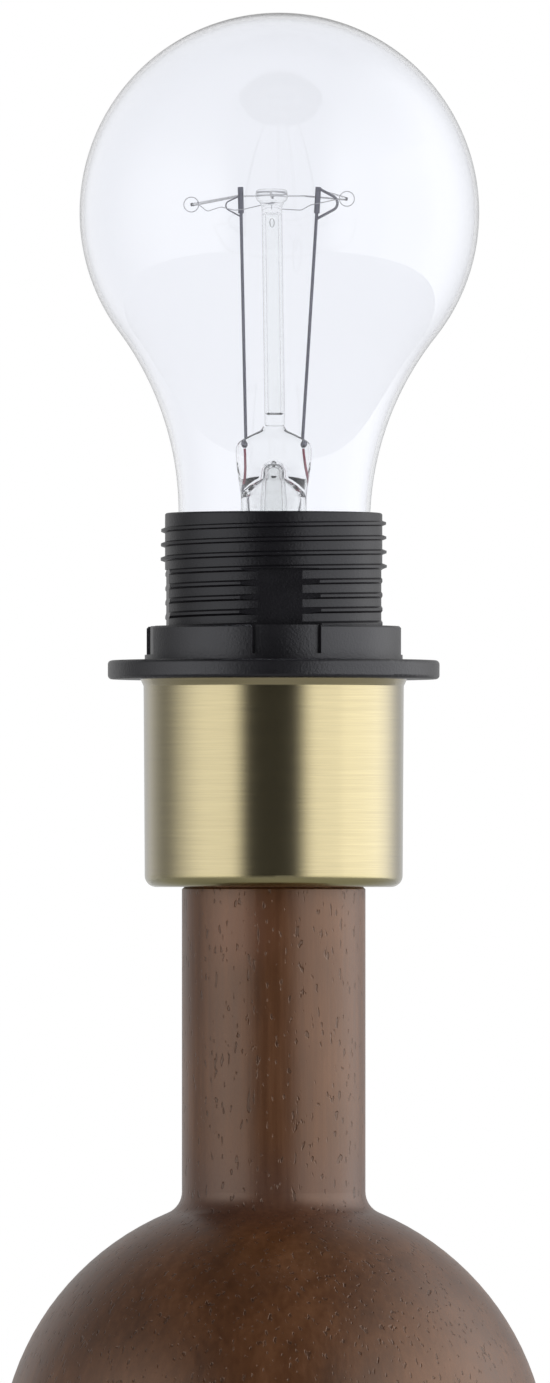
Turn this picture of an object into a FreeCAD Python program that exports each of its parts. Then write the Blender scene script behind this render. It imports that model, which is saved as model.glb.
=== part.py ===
import FreeCAD, Part
import math
import os

# A bare bulb table lamp: a turned wood bottle on a felt pad, a brass cup on its neck, a black
# lampholder with a threaded skirt and shade ring, and a large clear incandescent bulb.
# Millimetres, +Z up, the origin under the middle of the felt pad. The front is towards -Y.

V = FreeCAD.Vector
UP = V(0, 0, 1)
cut_over = 1.0                  # how far a cut passes the face that it opens

# ---------------------------------------------------------------- wood base and felt
felt_thickness = 1.5
felt_margin = 1.5               # bare rim of wood round the pad
ball_radius = 48.1
foot_radius = 28.0
neck_radius = 16.05
neck_top_height = 101.35        # above the ball's centre
neck_fillet_radius = 4.0        # between the neck and the ball
neck_edge = 0.4
tube_bore_radius = 5.4
well_radius = 19.0              # hollow in the foot, for the nut and the cord
well_depth = 22.5               # above the foot plane

# ---------------------------------------------------------------- base plate
plate_radius = 24.2
plate_thickness = 4.0
plate_gap = 0.2
plate_screw_count = 3
plate_screw_radius = 1.5
plate_screw_head_radius = 2.7
plate_screw_head_height = 1.4
plate_screw_length = 12.0
plate_screw_point = 1.6
plate_screw_circle = 21.2
plate_screw_angle = 30.0        # of the first screw, degrees from +X

# ---------------------------------------------------------------- cord exit at the back
cord_hole_radius = 5.0
cord_exit_height = 10.0         # of its middle on the ball's surface, above the table
cord_exit_slope = 20.0          # degrees, the hole falls outwards
cord_hole_depth = 24.0
bushing_collar_radius = 6.2
bushing_collar_thickness = 1.8
bushing_collar_proud = 0.9
bushing_collar_rounding = 0.6
bushing_length = 9.0
bushing_bore_radius = 3.5
bushing_gap = 0.1

# ---------------------------------------------------------------- threaded tube, nuts, washers
tube_radius = 5.0               # M10 x 1
tube_wall = 1.25
tube_thread_gap = 0.05
tube_end_above_boss = 3.0
tube_end_below_nut = 2.0
nut_across_flats = 14.0
nut_height = 3.0
nut_edge = 0.35
washer_thickness = 1.2
washer_hole_gap = 0.25          # round the tube, in the washers and the cup
washer_radius = 11.0

# ---------------------------------------------------------------- brass cup
cup_height = 36.3
cup_top_radius = 22.75
cup_bottom_radius = 22.55
cup_wall = 0.8
cup_corner_radius = 2.0
cup_lip_radius = 23.3
cup_lip_height = 1.2

# ---------------------------------------------------------------- lampholder
skirt_rim_height = 65.35        # above the cup's foot
skirt_thread_radius = 20.05     # M40 x 2.5, over the crests
skirt_root_radius = 19.0
skirt_bore_radius = 17.6
skirt_pitch = 2.5
skirt_thread_top_gap = 0.9      # from the last crest's middle to the rim
skirt_thread_turn = 0.36        # share of a turn that the thread goes past the last whole one
skirt_thread_turns = 9
skirt_ridge_half_base = 0.62
skirt_ridge_half_crest = 0.22
ridge_overlap = 0.3             # of a thread's ridge into the wall that it stands on
skirt_flat_distance = 18.6      # of each flat from the axis
skirt_flat_top = 9.9            # from the rim down to where the flats begin
skirt_flat_count = 4
skirt_flat_step = 0.01          # left above the shoulder
skirt_flat_angle = 3.5          # of the front flat, degrees to the right of the front
skirt_rim_rounding = 0.4
skirt_spigot_radius = 18.4
skirt_spigot_wall = 1.6
skirt_spigot_length = 7.0
skirt_shoulder_height = 3.5
skirt_ledge_radius = 15.7       # bore of the ring that holds the insert down
skirt_ledge_thickness = 2.0
skirt_ledge_height = 3.0        # above the insert's floor
holder_radius = 20.6
holder_top_below_lip = 5.0
holder_wall = 2.0
holder_spigot_gap = 0.2
holder_ledge_thickness = 2.0
holder_ledge_inset = 0.8
holder_boss_radius = 9.0
holder_boss_height = 3.5
holder_dome_height = 8.0
grub_radius = 1.5
grub_length = 4.2
grub_slot_width = 0.6
grub_slot_depth = 1.0

# ---------------------------------------------------------------- insert and contacts
insert_floor_thickness = 4.55
insert_flange_gap = 0.2
insert_wall = 1.0
insert_wall_gap = 0.25
insert_wall_height = 16.0       # above the insert's floor
terminal_slot_width = 7.0
terminal_slot_length = 6.0
terminal_slot_offset = 11.0
terminal_slot_roof = 1.5        # of the floor left above each slot
plunger_radius = 2.0
plunger_flange_radius = 2.8
plunger_flange_height = 1.0
plunger_rise = 3.5              # above the insert's floor
plunger_clearance = 0.15
plunger_lip = 1.2               # thickness of the floor's lip that stops the flange
plunger_edge = 0.5
contact_gap = 0.2               # between the plunger and the bulb's tip
contact_boss_radius = 5.0
contact_boss_length = 5.0       # below the insert's foot
spring_wire_radius = 0.22
spring_radius = 2.3
spring_turns = 5
spring_gap = 0.05
strip_width = 5.0
strip_thickness = 0.5
strip_inset = 1.0               # of its end from the boss's side
strip_top_gap = 0.5
rivet_offset = 9.5
rivet_radius = 1.2
rivet_head_radius = 2.0
rivet_head_height = 0.6
side_contact_width = 4.5
side_contact_reach = 2.6        # each side of the rivet
terminal_screw_radius = 1.5
terminal_head_radius = 2.4
terminal_head_height = 1.8
terminal_screw_gap = 0.6        # between the screw's end and the conductor's middle
screw_slot_width = 0.7
screw_slot_depth = 0.8
terminal_size = 5.6
terminal_height = 5.0
terminal_hole_radius = 1.2

# ---------------------------------------------------------------- lamp cap and shell thread
cap_pitch = 3.629               # the 27 mm lamp cap
cap_thread_radius = 13.1
cap_root_radius = 12.05
cap_wall = 0.45
cap_thread_turns = 3.3
cap_thread_bottom = 6.3         # first crest above the tip
cap_ridge_half_base = 0.95
cap_ridge_half_crest = 0.35
cap_shoulder_height = 4.0
cap_shoulder_radius = 9.6
cap_shoulder_rise = 1.6         # height over which the shoulder widens to the thread's root
cap_collar_rise = 1.2
cap_edge = 0.1
cap_height = 25.2               # from the tip to the cap's rim
cap_collar_start = 20.3
tip_radius = 4.6
tip_height = 1.5
tip_edge = 0.6
tip_edge_bow = 0.18             # of the rounding's middle, from the tip's face
tip_gap = 0.05                  # between the solder and the insulator
insulator_top = 4.2
insulator_foot = 0.5            # above the tip
insulator_edge = 0.4
insulator_tongue = 1.0          # height inside the cap, and space round the exhaust tube
insulator_gap = 0.1
shell_clearance = 0.3
shell_wall = 0.7
shell_ridge_height = 0.85
shell_thread_turns = 3.4
shell_height = 20.4
shell_foot = 1.4                # above the insert's floor

# ---------------------------------------------------------------- shade ring and flange
flange_radius = 29.0
flange_thickness = 3.3
flange_edge_radius = 0.7
ring_radius = 22.55
ring_height = 5.9
ring_edge = 0.35
ring_groove_depth = 1.0
ring_groove_width = 31.0        # degrees
ring_groove_angle = 6.0         # of the front groove, degrees to the right of the front
ring_groove_count = 4
ring_groove_floor = 0.9         # height left under each groove
ring_thread_clearance = 0.28
ring_thread_margin = 0.12       # between the thread's ends and the ring's faces
ring_gap = 0.05                 # between the ring and the flange

# ---------------------------------------------------------------- bulb glass
bulb_top_height = 120.25        # from the tip to the crown
bulb_radius = 34.93
bulb_neck_radius = 16.75
bulb_neck_drop = 1.03           # below the skirt's rim, where the neck's curve ends
bulb_wall = 0.7
bulb_lean = 0.95                # degrees that the glass leans to the right in its cap
bulb_seal_radius = 12.0
bulb_seal_depth = 1.2           # of the glass into the cap
bulb_seal_gap = 0.4             # cement between the glass and the cap's rim
bulb_crown_angle = 45.0         # of the point that splits the globe's curve

# ---------------------------------------------------------------- glass mount inside the bulb
press_top = 45.4                # heights above the tip
press_widest = 42.9
press_waist = 37.3
stem_tube_top = 34.7
stem_radius = 5.75
stem_wall = 0.9
flare_height = 26.5
flare_radius = 11.0
flare_bend_radius = 6.95        # of the middle of the flare's curve
flare_bend_height = 3.0
flare_curve_end = 2.0           # below the tube's top
flare_lip = 0.4
press_half_width = 6.65
press_half_thickness = 2.4
press_waist_half_thickness = 4.2
press_cone = 2.2                # height of the shoulders up to the rod
press_shoulder_half_width = 6.0
press_shoulder_thinning = 0.2
press_rod_margin = 0.6
exhaust_radius = 2.3
exhaust_wall = 0.7
exhaust_top = 42.0
exhaust_bottom = 4.6
rod_radius = 1.78
rod_foot = 44.8
rod_top = 87.3
rod_foot_x = 0.24
rod_top_x = -0.34
button_radius = 2.8
button_height = 2.2
button_rounding = 0.7

lead_radius = 0.28
lead_foot = 44.2
lead_top = 89.8
lead_left_foot_x = -4.84
lead_left_top_x = -5.8
lead_right_foot_x = 4.95
lead_right_top_x = 7.81
lead_knot = 1.0
lead_bend = 1.6
crimp_radius = 0.5
crimp_length = 4.6
dumet_radius = 0.35
dumet_bottom = 37.8
dumet_left_x = -4.63
dumet_right_x = 5.52
lower_lead_radius = 0.2
lower_lead_bend = 2.0
lower_lead_wall_gap = 0.5       # inside the stem's tube
lower_lead_drop = 5.0           # over which the leads spread below the press
lower_lead_tip_end = (-3.6, 5.4)        # x, and the height above the tip
lower_lead_rim_end = (10.8, 21.7)

# Routes of the thin wires. Pairs are x and the height above the tip, threes have y between them.
hook_left_radius = 0.12
hook_left = ((-6.0, 88.2), (-9.4, 86.6), (-5.7, 84.6))
hook_right_radius = 0.24
hook_right = ((7.81, 89.6), (12.6, 87.0), (7.46, 84.2))
support_radius = 0.12
support_bend = 1.0
support_gap = 0.05              # from the rod and the button
pigtail_radius = 1.3            # of the loops that hold the filament
pigtail_left = (-14.4, -1.1, 86.7)      # middles of the loops
pigtail_right = (12.8, -1.2, 87.7)
pigtail_back = (-0.3, 11.5, 88.7)
support_left_height = 86.6      # where the left support leaves the rod
support_left = ((-5.1, 85.9), (-6.9, 85.7), (-9.2, 86.3), (-11.6, 85.5))
support_right_height = 85.9
support_right = ((4.8, 85.7), (6.4, 86.6))
support_back_height = 88.5
filament_radius = 0.16
filament_gap = 0.1
filament_bend = 1.0
filament_left_height = 88.4     # of its ends at the crimps
filament_right_height = 89.3
filament_ahead = 3.0            # straight run in front of each side loop
filament_behind = 5.0           # and behind it
filament_back_run = 5.5         # each side of the back loop

# ---------------------------------------------------------------- heights that follow
foot_z = felt_thickness
ball_z = foot_z + math.sqrt(ball_radius**2 - foot_radius**2)
neck_top_z = ball_z + neck_top_height
cup_floor_z = neck_top_z + cup_wall
cup_lip_z = neck_top_z + cup_height
skirt_rim_z = neck_top_z + skirt_rim_height
holder_boss_z = cup_floor_z + washer_thickness + nut_height
holder_floor_z = holder_boss_z + holder_boss_height
holder_top_z = cup_lip_z - holder_top_below_lip
skirt_foot_z = holder_top_z - skirt_spigot_length
insert_foot_z = skirt_foot_z
insert_floor_z = insert_foot_z + insert_floor_thickness
skirt_ledge_z = insert_floor_z + skirt_ledge_height
insert_flange_radius = skirt_spigot_radius - skirt_spigot_wall - insert_flange_gap
tip_z = insert_floor_z + plunger_rise + contact_gap
slot_roof_z = insert_floor_z - terminal_slot_roof
contact_boss_z = insert_foot_z - contact_boss_length
flange_z = cup_lip_z
ring_z = flange_z + flange_thickness + ring_gap
cap_rim_z = tip_z + cap_height
globe_z = tip_z + bulb_top_height - bulb_radius
bulb_neck_z = skirt_rim_z - bulb_neck_drop
well_top_z = foot_z + well_depth
lower_nut_z = well_top_z - washer_thickness - nut_height


# ---------------------------------------------------------------- helpers
def outline(start, *steps):
    """Closed wire in the XZ plane. A step is (r, z) for a line, or (rm, zm, r, z) for an arc."""
    first = V(start[0], 0, start[1])
    here = first
    edges = []
    for step in steps:
        there = V(step[-2], 0, step[-1])
        if len(step) == 4:
            edges.append(Part.Arc(here, V(step[0], 0, step[1]), there).toShape())
        else:
            edges.append(Part.LineSegment(here, there).toShape())
        here = there
    if here.distanceToPoint(first) > 1e-7:
        edges.append(Part.LineSegment(here, first).toShape())
    return Part.Wire(edges)


def turned(start, *steps):
    """Solid of revolution about Z of an outline."""
    return Part.Face(outline(start, *steps)).revolve(V(0, 0, 0), UP, 360)


def disc(radius, z0, z1, x=0.0, y=0.0):
    return Part.makeCylinder(radius, z1 - z0, V(x, y, z0))


def ring(inner, outer, z0, z1):
    return disc(outer, z0, z1).cut(disc(inner, z0 - cut_over, z1 + cut_over))


def on_circle(radius, count, first=0.0):
    """Points on a circle about Z, the first at an angle in degrees from +X."""
    angles = [math.radians(first + 360.0 * i / count) for i in range(count)]
    return [(radius * math.cos(a), radius * math.sin(a)) for a in angles]


def hexagon(across_flats, bore, z0, z1):
    """Hexagon nut with a plain bore and its corners turned off."""
    corner = across_flats / math.sqrt(3)
    points = [V(x, y, z0) for x, y in on_circle(corner, 6)]
    prism = Part.Face(Part.makePolygon(points + points[:1])).extrude(V(0, 0, z1 - z0))
    edge = nut_edge
    limit = turned(
        (0, z0), (corner - edge, z0), (corner, z0 + edge), (corner, z1 - edge), (corner - edge, z1), (0, z1)
    )
    return prism.common(limit).cut(disc(bore, z0 - cut_over, z1 + cut_over))


def ridge(pitch, turns, base, root, crest, half_base, half_crest):
    """Right-hand helical ridge from z = 0 at +X. It stands on the root radius, outwards or inwards."""
    helix = Part.makeLongHelix(pitch, pitch * turns, root)
    corners = [
        V(base, 0, -half_base),
        V(root, 0, -half_base),
        V(crest, 0, -half_crest),
        V(crest, 0, half_crest),
        V(root, 0, half_base),
        V(base, 0, half_base),
    ]
    shell = Part.BRepOffsetAPI.MakePipeShell(Part.Wire(helix))
    shell.setFrenetMode(True)
    shell.add(Part.makePolygon(corners + corners[:1]))
    shell.build()
    shell.makeSolid()
    return shell.shape()


def route(points, bend):
    """Straight runs through the points, with a tangent arc at each inner corner."""
    edges = []
    here = points[0]
    for before, corner, after in zip(points, points[1:], points[2:]):
        back = (before - corner).normalize()
        ahead = (after - corner).normalize()
        half = back.getAngle(ahead) / 2
        radius = min(bend, 0.45 * min(before.distanceToPoint(corner), after.distanceToPoint(corner)) * math.tan(half))
        reach = radius / math.tan(half)
        inside = (back + ahead).normalize()
        middle = corner + inside * (radius / math.sin(half) - radius)
        edges.append(Part.LineSegment(here, corner + back * reach).toShape())
        edges.append(Part.Arc(corner + back * reach, middle, corner + ahead * reach).toShape())
        here = corner + ahead * reach
    edges.append(Part.LineSegment(here, points[-1]).toShape())
    return Part.Wire(edges)


def wire(points, radius, bend=1.5):
    """Round wire along a route."""
    path = route(points, bend)
    start = points[0]
    circle = Part.Wire(Part.makeCircle(radius, start, (points[1] - start).normalize()))
    return path.makePipeShell([circle], True, True)


def leaning(shape):
    """The glass leans in its cap, about the cap's rim."""
    out = shape.copy()
    out.rotate(V(0, 0, cap_rim_z), V(0, 1, 0), bulb_lean)
    return out


def save(name, shape):
    shape.exportStep("parts/" + name + ".step")


# ---------------------------------------------------------------- wood base
def cord_exit():
    """Middle of the cord hole's mouth on the ball, and the way that it points out."""
    reach = math.sqrt(ball_radius**2 - (ball_z - cord_exit_height) ** 2)
    slope = math.radians(cord_exit_slope)
    return V(0, reach, cord_exit_height), V(0, math.cos(slope), -math.sin(slope))


def plate_screws():
    """Countersunk wood screws, heads down, through the plate into the foot."""
    screw = turned(
        (0, foot_z),
        (plate_screw_head_radius, foot_z),
        (plate_screw_radius, foot_z + plate_screw_head_height),
        (plate_screw_radius, foot_z + plate_screw_length - plate_screw_point),
        (0, foot_z + plate_screw_length),
    )
    screws = []
    for x, y in on_circle(plate_screw_circle, plate_screw_count, plate_screw_angle):
        one = screw.copy()
        one.translate(V(x, y, 0))
        screws.append(one)
    return Part.makeCompound(screws)


def wood_body(screws, bushing_space):
    fillet_r = neck_radius + neck_fillet_radius
    fillet_reach = ball_radius + neck_fillet_radius
    fillet_z = ball_z + math.sqrt(fillet_reach**2 - fillet_r**2)
    share = ball_radius / fillet_reach
    touch = (fillet_r * share, ball_z + (fillet_z - ball_z) * share)
    turn = (math.pi + math.atan2(fillet_z - ball_z, fillet_r) + math.pi) / 2
    middle = (fillet_r + neck_fillet_radius * math.cos(turn), fillet_z + neck_fillet_radius * math.sin(turn))
    body = turned(
        (0, foot_z),
        (foot_radius, foot_z),
        (ball_radius, ball_z) + touch,
        middle + (neck_radius, fillet_z),
        (neck_radius, neck_top_z - neck_edge),
        (neck_radius - neck_edge, neck_top_z),
        (0, neck_top_z),
    )
    cuts = [
        disc(tube_bore_radius, foot_z, neck_top_z + cut_over),
        disc(well_radius, foot_z - cut_over, well_top_z),
        disc(plate_radius + plate_gap, foot_z - cut_over, foot_z + plate_thickness),
        bushing_space,
    ]
    return body.cut(cuts).cut(screws.Solids)


def bushing_parts():
    """The cord bushing, and the space that it takes up in the wood."""
    mouth, out = cord_exit()
    face = mouth + out * bushing_collar_proud
    seat = face - out * bushing_collar_thickness
    collar = Part.makeCylinder(bushing_collar_radius, bushing_collar_thickness, seat, out)
    outer_edge = [e for e in collar.Edges if e.Vertexes and abs((e.CenterOfMass - face).dot(out)) < 1e-6]
    collar = collar.makeFillet(bushing_collar_rounding, outer_edge[:1])
    barrel = Part.makeCylinder(cord_hole_radius - bushing_gap, bushing_length, seat - out * bushing_length, out)
    bore_length = bushing_length + bushing_collar_thickness + 2 * cut_over
    bore = Part.makeCylinder(bushing_bore_radius, bore_length, seat - out * (bushing_length + cut_over), out)
    bushing = collar.fuse(barrel).cut(bore).removeSplitter()
    hole = Part.makeCylinder(cord_hole_radius, cord_hole_depth, mouth - out * cord_hole_depth, out)
    spotface = Part.makeCylinder(bushing_collar_radius + bushing_gap, cord_hole_depth, seat, out)
    return bushing, hole.fuse(spotface)


# ---------------------------------------------------------------- brass cup
def brass_cup():
    corner = cup_corner_radius
    half = corner * (1 - math.sqrt(0.5))
    inner_corner = corner - cup_wall
    inner_half = inner_corner * (1 - math.sqrt(0.5))
    foot = neck_top_z
    low, high = cup_bottom_radius, cup_top_radius
    return turned(
        (tube_radius + washer_hole_gap, foot),
        (low - corner, foot),
        (low - half, foot + half, low, foot + corner),
        (high, cup_lip_z - cup_lip_height),
        (cup_lip_radius, cup_lip_z),
        (cup_lip_radius - cup_wall, cup_lip_z),
        (high - cup_wall, cup_lip_z - cup_lip_height),
        (low - cup_wall, foot + corner),
        (low - cup_wall - inner_half, foot + cup_wall + inner_half, low - corner, foot + cup_wall),
        (tube_radius + washer_hole_gap, foot + cup_wall),
    )


# ---------------------------------------------------------------- lampholder
def holder_cap():
    inner = skirt_spigot_radius + holder_spigot_gap
    ledge = skirt_spigot_radius - skirt_spigot_wall - holder_ledge_inset
    dome_z = holder_boss_z + holder_boss_height
    wall_z = dome_z + holder_dome_height
    ledge_z = skirt_foot_z - holder_ledge_thickness
    bulge = math.sqrt(0.5)
    span = holder_radius - holder_boss_radius
    inner_span = inner - holder_boss_radius
    cap = turned(
        (tube_radius + tube_thread_gap, holder_boss_z),
        (holder_boss_radius, holder_boss_z),
        (holder_boss_radius, dome_z),
        (holder_boss_radius + span * bulge, wall_z - holder_dome_height * bulge, holder_radius, wall_z),
        (holder_radius, holder_top_z),
        (inner, holder_top_z),
        (inner, skirt_foot_z),
        (ledge, skirt_foot_z),
        (ledge, ledge_z),
        (inner, ledge_z),
        (inner, wall_z + holder_wall),
        (
            holder_boss_radius + inner_span * bulge,
            wall_z + holder_wall - holder_dome_height * bulge,
            holder_boss_radius,
            dome_z + holder_wall,
        ),
        (tube_radius + tube_thread_gap, dome_z + holder_wall),
    )
    return cap


def grub_screw():
    z = holder_boss_z + holder_boss_height / 2
    start = tube_radius + tube_thread_gap
    body = Part.makeCylinder(grub_radius, grub_length, V(start, 0, z), V(1, 0, 0))
    corner = V(start + grub_length - grub_slot_depth, -grub_radius, z - grub_slot_width / 2)
    slot = Part.makeBox(grub_slot_depth, 2 * grub_radius, grub_slot_width, corner)
    return body.cut(slot)


def skirt_thread_start():
    """Height of the thread's first crest, at +X, counted down in whole turns from the last one."""
    top = skirt_rim_z - skirt_thread_top_gap - skirt_pitch * skirt_thread_turn
    return top - skirt_pitch * skirt_thread_turns


def threaded_skirt():
    rim = skirt_rim_z
    shoulder_z = holder_top_z + skirt_shoulder_height
    edge = skirt_rim_rounding
    half = edge * (1 - math.sqrt(0.5))
    spigot_bore = skirt_spigot_radius - skirt_spigot_wall
    ledge_top = skirt_ledge_z + skirt_ledge_thickness
    wall = turned(
        (skirt_bore_radius, rim - edge),
        (skirt_bore_radius + half, rim - half, skirt_bore_radius + edge, rim),
        (skirt_root_radius - edge, rim),
        (skirt_root_radius - half, rim - half, skirt_root_radius, rim - edge),
        (skirt_root_radius, shoulder_z),
        (holder_radius, shoulder_z),
        (holder_radius, holder_top_z),
        (skirt_spigot_radius, holder_top_z),
        (skirt_spigot_radius, skirt_foot_z),
        (spigot_bore, skirt_foot_z),
        (spigot_bore, skirt_ledge_z),
        (skirt_ledge_radius, skirt_ledge_z),
        (skirt_ledge_radius, ledge_top),
        (skirt_bore_radius, ledge_top),
    )
    turns = skirt_thread_turns + skirt_thread_turn
    thread = ridge(
        skirt_pitch,
        turns,
        skirt_root_radius - ridge_overlap,
        skirt_root_radius,
        skirt_thread_radius,
        skirt_ridge_half_base,
        skirt_ridge_half_crest,
    )
    thread.translate(V(0, 0, skirt_thread_start()))
    skirt = wall.fuse(thread)
    flat_foot = shoulder_z + skirt_flat_step
    flat_height = rim - skirt_flat_top - flat_foot
    for i in range(skirt_flat_count):
        corner = V(skirt_flat_distance, -holder_radius, flat_foot)
        flat = Part.makeBox(holder_radius, 2 * holder_radius, flat_height, corner)
        angle = -90 + skirt_flat_angle + 360.0 * i / skirt_flat_count
        flat.rotate(V(0, 0, 0), UP, angle)
        skirt = skirt.cut(flat)
    return skirt


def holder_insert():
    """Moulded carrier: a floor with two terminal slots, a boss for the plunger and a wall round the shell."""
    wall_inner = shell_outer_radius() + insert_wall_gap
    wall_outer = wall_inner + insert_wall
    top = insert_floor_z + insert_wall_height
    lip_z = insert_floor_z - plunger_lip
    body = turned(
        (plunger_flange_radius + plunger_clearance, contact_boss_z),
        (contact_boss_radius, contact_boss_z),
        (contact_boss_radius, insert_foot_z),
        (insert_flange_radius, insert_foot_z),
        (insert_flange_radius, skirt_ledge_z),
        (wall_outer, skirt_ledge_z),
        (wall_outer, top),
        (wall_inner, top),
        (wall_inner, insert_floor_z),
        (plunger_radius + plunger_clearance, insert_floor_z),
        (plunger_radius + plunger_clearance, lip_z),
        (plunger_flange_radius + plunger_clearance, lip_z),
    )
    for side in (-1, 1):
        corner = V(side * terminal_slot_offset - terminal_slot_width / 2, -terminal_slot_length / 2, insert_foot_z)
        depth = slot_roof_z - insert_foot_z
        body = body.cut(Part.makeBox(terminal_slot_width, terminal_slot_length, depth, corner))
    return body.cut(disc(rivet_radius, insert_foot_z, insert_floor_z + cut_over, -rivet_offset, 0))


def shell_outer_radius():
    return cap_thread_radius + shell_clearance + shell_wall


def screw_shell():
    """Metal shell with the lampholder's inner thread, half a pitch from the cap's ridges."""
    inner = cap_thread_radius + shell_clearance
    foot = insert_floor_z + shell_foot
    wall = ring(inner, shell_outer_radius(), foot, foot + shell_height)
    thread = ridge(
        cap_pitch,
        shell_thread_turns,
        inner + shell_wall / 2,
        inner,
        inner - shell_ridge_height,
        cap_ridge_half_base,
        cap_ridge_half_crest,
    )
    thread.translate(V(0, 0, tip_z + cap_thread_bottom - cap_pitch / 2))
    return wall.fuse(thread)


def contact_plunger():
    """Brass button under the bulb's tip. Its flange stops under the floor's lip."""
    top = insert_floor_z + plunger_rise
    flange_top = insert_floor_z - plunger_lip
    edge = plunger_edge
    return turned(
        (0, flange_top - plunger_flange_height),
        (plunger_flange_radius, flange_top - plunger_flange_height),
        (plunger_flange_radius, flange_top),
        (plunger_radius, flange_top),
        (plunger_radius, top - edge),
        (plunger_radius - edge, top),
        (0, top),
    )


def contact_spring():
    """Coil spring between the terminal strip and the plunger's flange."""
    low = contact_boss_z + spring_wire_radius + spring_gap
    high = insert_floor_z - plunger_lip - plunger_flange_height - spring_wire_radius - spring_gap
    pitch = (high - low) / spring_turns
    helix = Part.makeLongHelix(pitch, high - low, spring_radius)
    start = V(spring_radius, 0, 0)
    along = V(0, 2 * math.pi * spring_radius, pitch).normalize()
    shell = Part.BRepOffsetAPI.MakePipeShell(Part.Wire(helix))
    shell.setFrenetMode(True)
    shell.add(Part.Wire(Part.makeCircle(spring_wire_radius, start, along)))
    shell.build()
    shell.makeSolid()
    spring = shell.shape()
    spring.translate(V(0, 0, low))
    return spring


def centre_terminal_strip():
    """Brass strip that closes the boss under the spring and rises to the terminal's side."""
    t = strip_thickness
    face_x = terminal_slot_offset - terminal_size / 2
    rise = slot_roof_z - strip_top_gap - contact_boss_z
    end_x = strip_inset - contact_boss_radius
    floor = Part.makeBox(face_x - end_x, strip_width, t, V(end_x, -strip_width / 2, contact_boss_z - t))
    riser = Part.makeBox(t, strip_width, rise + t, V(face_x - t, -strip_width / 2, contact_boss_z - t))
    return floor.fuse(riser).removeSplitter()


def side_contact():
    """Flat brass lug riveted to the floor, turned up under the screw shell's foot."""
    floor = insert_floor_z
    t = strip_thickness
    reach = side_contact_reach
    half = side_contact_width / 2
    lug = Part.makeBox(2 * reach, side_contact_width, t, V(-rivet_offset - reach, -half, floor))
    riser = Part.makeBox(t, side_contact_width, shell_foot, V(-rivet_offset - reach - t, -half, floor))
    hole = disc(rivet_radius, floor - cut_over, floor + t + cut_over, -rivet_offset, 0)
    return lug.fuse(riser).removeSplitter().cut(hole)


def contact_rivet():
    """Rivet through the side contact and the floor, down to the terminal."""
    top = insert_floor_z + strip_thickness
    shank = disc(rivet_radius, slot_roof_z, top, -rivet_offset, 0)
    head = disc(rivet_head_radius, top, top + rivet_head_height, -rivet_offset, 0)
    return shank.fuse(head).removeSplitter()


def terminals():
    """Brass terminal blocks in the floor's slots, with a cross hole for the conductor."""
    blocks = []
    half = terminal_size / 2
    foot = slot_roof_z - terminal_height
    for side in (-1, 1):
        x = side * terminal_slot_offset
        block = Part.makeBox(terminal_size, terminal_size, terminal_height, V(x - half, -half, foot))
        start = V(x, -half - cut_over, foot + terminal_height / 2)
        conductor = Part.makeCylinder(terminal_hole_radius, terminal_size + 2 * cut_over, start, V(0, 1, 0))
        screw_hole = disc(terminal_screw_radius, foot - cut_over, foot + terminal_height / 2, x, 0)
        blocks.append(block.cut([conductor, screw_hole]))
    return Part.makeCompound(blocks)


def terminal_screws():
    pieces = []
    foot = slot_roof_z - terminal_height
    head_z = foot - terminal_head_height
    for side in (-1, 1):
        x = side * terminal_slot_offset
        head = disc(terminal_head_radius, head_z, foot, x, 0)
        shank = disc(terminal_screw_radius, foot, foot + terminal_height / 2 - terminal_screw_gap, x, 0)
        corner = V(x - terminal_head_radius, -screw_slot_width / 2, head_z)
        slot = Part.makeBox(2 * terminal_head_radius, screw_slot_width, screw_slot_depth, corner)
        pieces.append(head.fuse(shank).removeSplitter().cut(slot))
    return Part.makeCompound(pieces)


# ---------------------------------------------------------------- shade ring
def shade_flange():
    bore = skirt_thread_radius + ring_thread_clearance
    edge = flange_edge_radius
    half = edge * (1 - math.sqrt(0.5))
    low, high = flange_z, flange_z + flange_thickness
    out = flange_radius
    return turned(
        (bore, low),
        (out - edge, low),
        (out - half, low + half, out, low + edge),
        (out, high - edge),
        (out - half, high - half, out - edge, high),
        (bore, high),
    )


def shade_ring_nut():
    """Ring with an inner thread, as high as the ring, half a pitch from the skirt's ridges."""
    bore = skirt_thread_radius + ring_thread_clearance
    low, high = ring_z, ring_z + ring_height
    edge = ring_edge
    body = turned((bore, low), (ring_radius, low), (ring_radius, high - edge), (ring_radius - edge, high), (bore, high))
    for i in range(ring_groove_count):
        middle = -90 + ring_groove_angle + 360.0 * i / ring_groove_count
        floor = ring_radius - ring_groove_depth
        wedge = ring(floor, ring_radius + cut_over, low + ring_groove_floor, high + cut_over)
        window = Part.makeCylinder(
            ring_radius + 2 * cut_over, ring_height + 2 * cut_over, V(0, 0, low), UP, ring_groove_width
        )
        window.rotate(V(0, 0, 0), UP, middle - ring_groove_width / 2)
        body = body.cut(wedge.common(window))
    first = skirt_thread_start() + skirt_pitch / 2
    inset = skirt_ridge_half_base + ring_thread_margin
    start = low + inset
    thread = ridge(
        skirt_pitch,
        (ring_height - 2 * inset) / skirt_pitch,
        bore + ridge_overlap,
        bore,
        skirt_root_radius + ring_thread_clearance,
        skirt_ridge_half_base,
        skirt_ridge_half_crest,
    )
    thread.rotate(V(0, 0, 0), UP, 360 * (start - first) / skirt_pitch)
    thread.translate(V(0, 0, start))
    return body.fuse(thread)


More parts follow.
